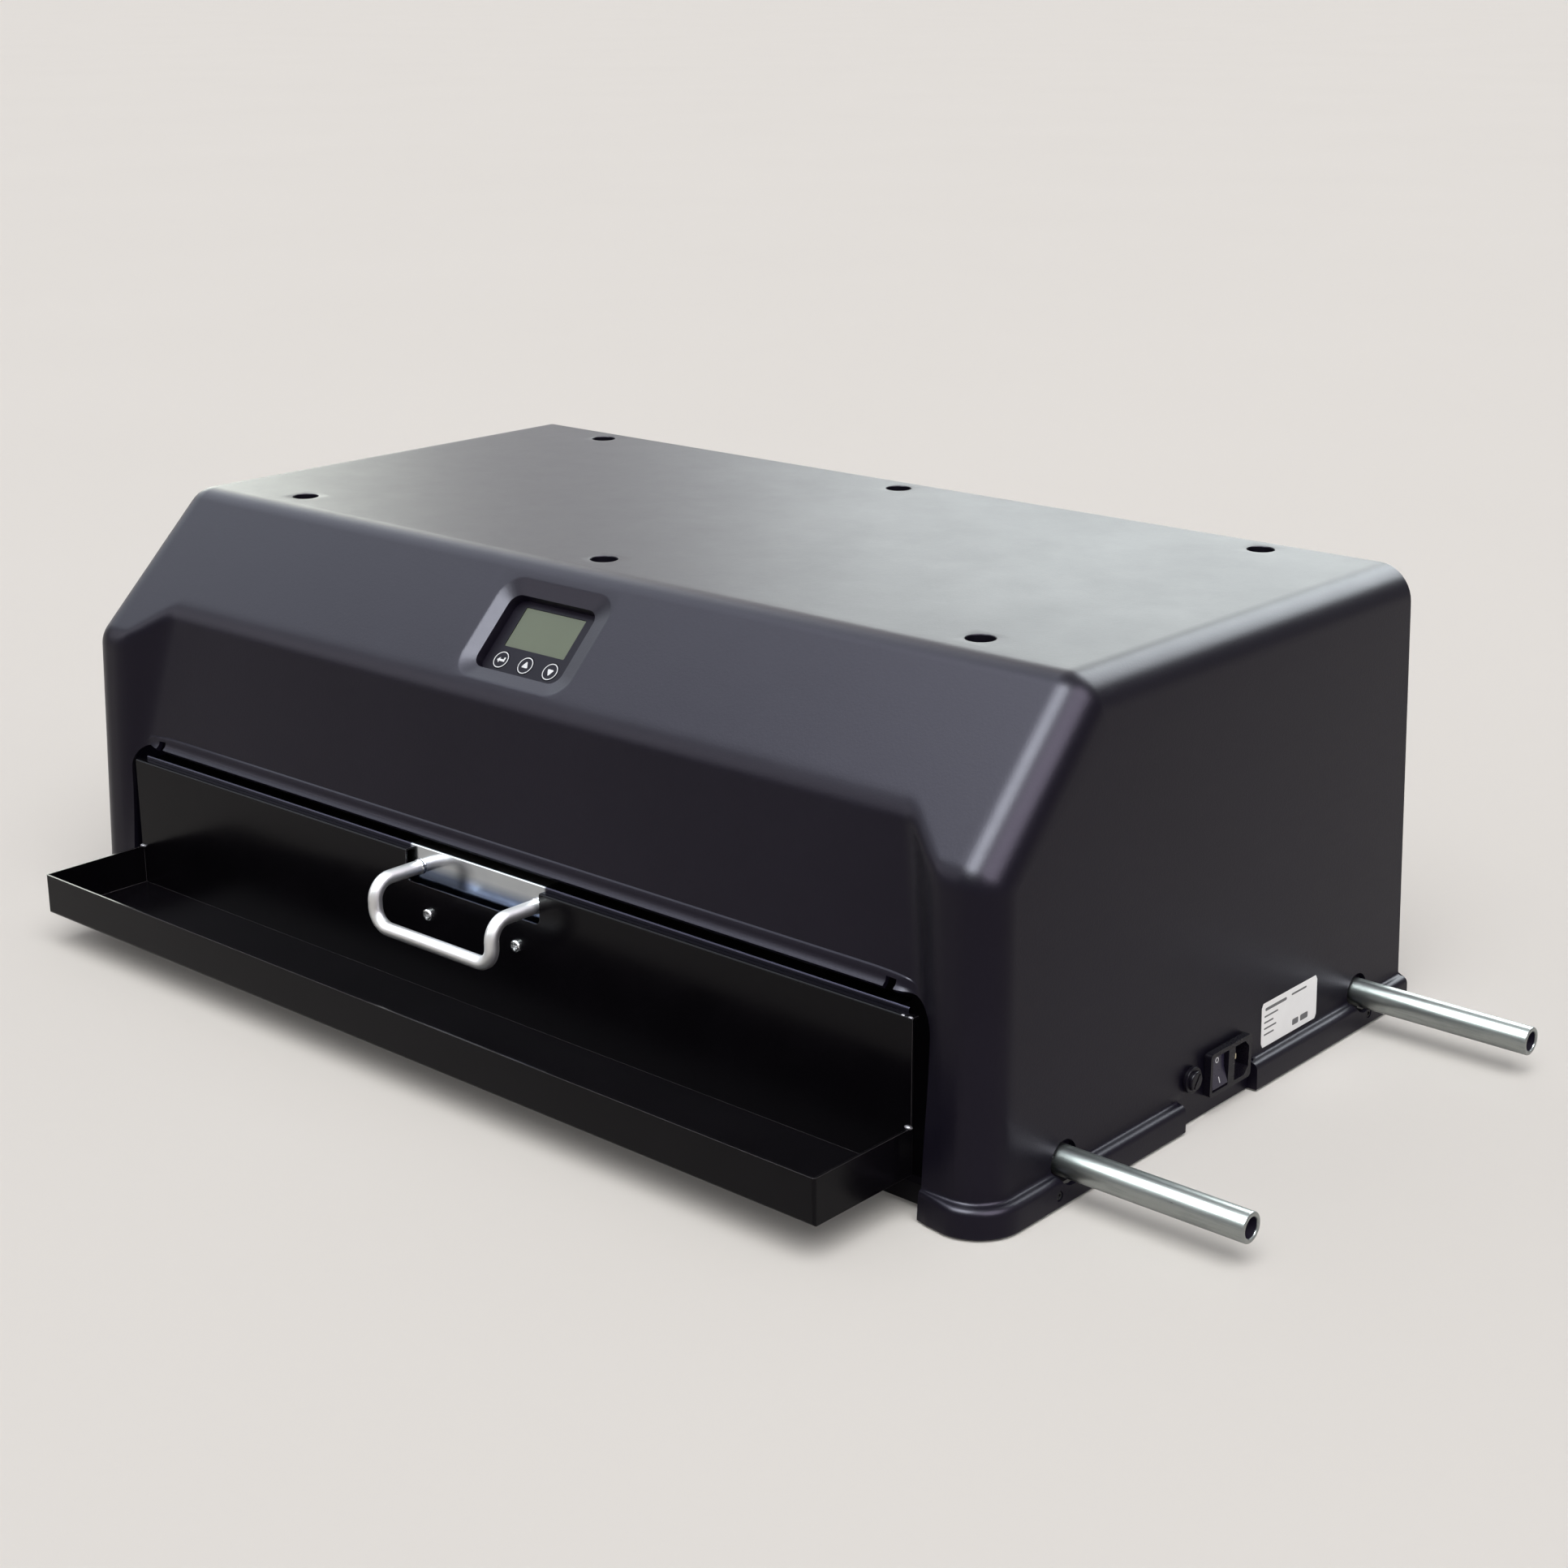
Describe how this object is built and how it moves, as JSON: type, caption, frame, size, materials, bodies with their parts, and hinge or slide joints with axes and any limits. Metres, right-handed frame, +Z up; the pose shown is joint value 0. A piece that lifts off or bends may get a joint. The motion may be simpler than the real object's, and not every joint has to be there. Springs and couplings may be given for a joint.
{
  "type": "bench-top drawer oven with rotating spit",
  "caption": "Low, wide bench-top electric oven: moulded hood with sloped display face, pull-out drawer front with catch tray, rotating spit inside, side support rails.",
  "frame": {"origin": "centre of the underside of the middle rubber foot, on the surface the oven stands on", "axes": "+X to the right along the wide front, +Y to the back, +Z up; the drawer opens towards -Y"},
  "size_m": [1.042, 0.5841, 0.325],
  "materials": {
    "hood_plastic": "fine moulded grain, charcoal black",
    "black_powder_coat": "gloss black powder coat",
    "polished_steel": "bright, lightly scratched",
    "satin_aluminium": "satin anodised",
    "zinc_tube": "bright zinc plate with drawn streaks",
    "galvanised_steel": "galvanised",
    "stainless_steel": "brushed stainless",
    "heater_sheath": "dark oxide sheath",
    "black_enamel": "gloss enamel",
    "bright_screws": "bright plated",
    "black_screws": "black oxide",
    "rubber": "matt",
    "mineral_wool": "mineral wool blanket",
    "black_plastic": "moulded black",
    "overlay_film": "printed membrane overlay",
    "lcd_glass": "olive green display",
    "circuit_board": "solder mask",
    "motor_metal": "grey",
    "brass_pins": "plated contacts",
    "fuse_glass": "clear",
    "white_label": "printed label, abstract marks only",
    "cable_sheath": "soft sheath"
  },
  "bodies": {
    "chassis": {"hood": "hood_plastic", "base_plate": "black_powder_coat", "rear_panel": "black_powder_coat", "bay_cover": "black_powder_coat", "top_frame": "galvanised_steel", "slide_rail_left": "galvanised_steel", "slide_rail_right": "galvanised_steel", "motor_bracket": "galvanised_steel", "heater_hangers": "galvanised_steel", "oven_liner": "stainless_steel", "spit_bearing": "stainless_steel", "temperature_probe": "stainless_steel", "heater_bushes": "stainless_steel", "upper_heating_element": "heater_sheath", "rear_heating_element": "heater_sheath", "rear_panel_screws": "bright_screws", "hood_top_screws": "black_screws", "rail_guide_screws": "black_screws", "rubber_feet": "rubber", "liner_insulation": "mineral_wool", "inlet_housing": "black_plastic", "fuse_holder": "black_plastic", "fan_frame": "black_plastic", "rail_guide_front": "black_plastic", "rail_guide_rear": "black_plastic", "terminal_block": "black_plastic", "display_overlay": "overlay_film", "lcd_module": "lcd_glass", "control_board": "circuit_board", "power_board": "circuit_board", "gear_motor": "motor_metal", "transformer": "motor_metal", "inlet_pins": "brass_pins", "rating_label": "white_label", "wiring": "cable_sheath"},
    "drawer": {"front_plate": "polished_steel", "catch_tray": "black_powder_coat", "tray_screws": "bright_screws", "tray_spacers": "galvanised_steel", "pull_handle": "satin_aluminium", "handle_screws": "bright_screws", "drip_pan": "black_enamel", "slide_runner_left": "galvanised_steel", "slide_runner_right": "galvanised_steel"},
    "spit": {"spit_shaft": "stainless_steel", "drive_socket": "stainless_steel", "spit_fork_left": "stainless_steel", "spit_fork_right": "stainless_steel", "fork_thumb_screws": "stainless_steel"},
    "fan": {"fan_impeller": "black_plastic"},
    "rocker": {"power_rocker": "black_plastic"},
    "enter_button": {"key_enter": "overlay_film"},
    "up_button": {"key_up": "overlay_film"},
    "down_button": {"key_down": "overlay_film"},
    "fuse_carrier": {"fuse_cap": "black_plastic", "fuse_cartridge": "fuse_glass"},
    "front_rail": {"side_rail_front": "zinc_tube"},
    "rear_rail": {"side_rail_rear": "zinc_tube"}
  },
  "joints": [
    {"name": "drawer_slide", "type": "slide", "parent": "chassis", "child": "drawer", "axis": [0, -1, 0], "range_m": [0, 0.32]},
    {"name": "spit_drive", "type": "hinge", "parent": "chassis", "child": "spit", "pos_m": [0, -0.01, 0.122], "axis": [1, 0, 0], "continuous": true},
    {"name": "fan_spin", "type": "hinge", "parent": "chassis", "child": "fan", "pos_m": [0.352, 0.2215, 0.165], "axis": [0, 1, 0], "continuous": true},
    {"name": "rocker_tilt", "type": "hinge", "parent": "chassis", "child": "rocker", "pos_m": [0.44981, -0.0003, 0.0295], "axis": [0, 1, 0], "range_deg": [0, 20]},
    {"name": "enter_press", "type": "slide", "parent": "chassis", "child": "enter_button", "axis": [0, 0.7071, -0.7071], "range_m": [0, 0.0005], "stiffness_N_per_m": 800},
    {"name": "up_press", "type": "slide", "parent": "chassis", "child": "up_button", "axis": [0, 0.7071, -0.7071], "range_m": [0, 0.0005], "stiffness_N_per_m": 800},
    {"name": "down_press", "type": "slide", "parent": "chassis", "child": "down_button", "axis": [0, 0.7071, -0.7071], "range_m": [0, 0.0005], "stiffness_N_per_m": 800},
    {"name": "fuse_cap_turn", "type": "hinge", "parent": "chassis", "child": "fuse_carrier", "pos_m": [0.45081, -0.0286, 0.0322], "axis": [1, 0, 0], "range_deg": [0, 90]},
    {"name": "front_rail_slide", "type": "slide", "parent": "chassis", "child": "front_rail", "axis": [-1, 0, 0], "range_m": [0, 0.09]},
    {"name": "rear_rail_slide", "type": "slide", "parent": "chassis", "child": "rear_rail", "axis": [-1, 0, 0], "range_m": [0, 0.09]}
  ]
}
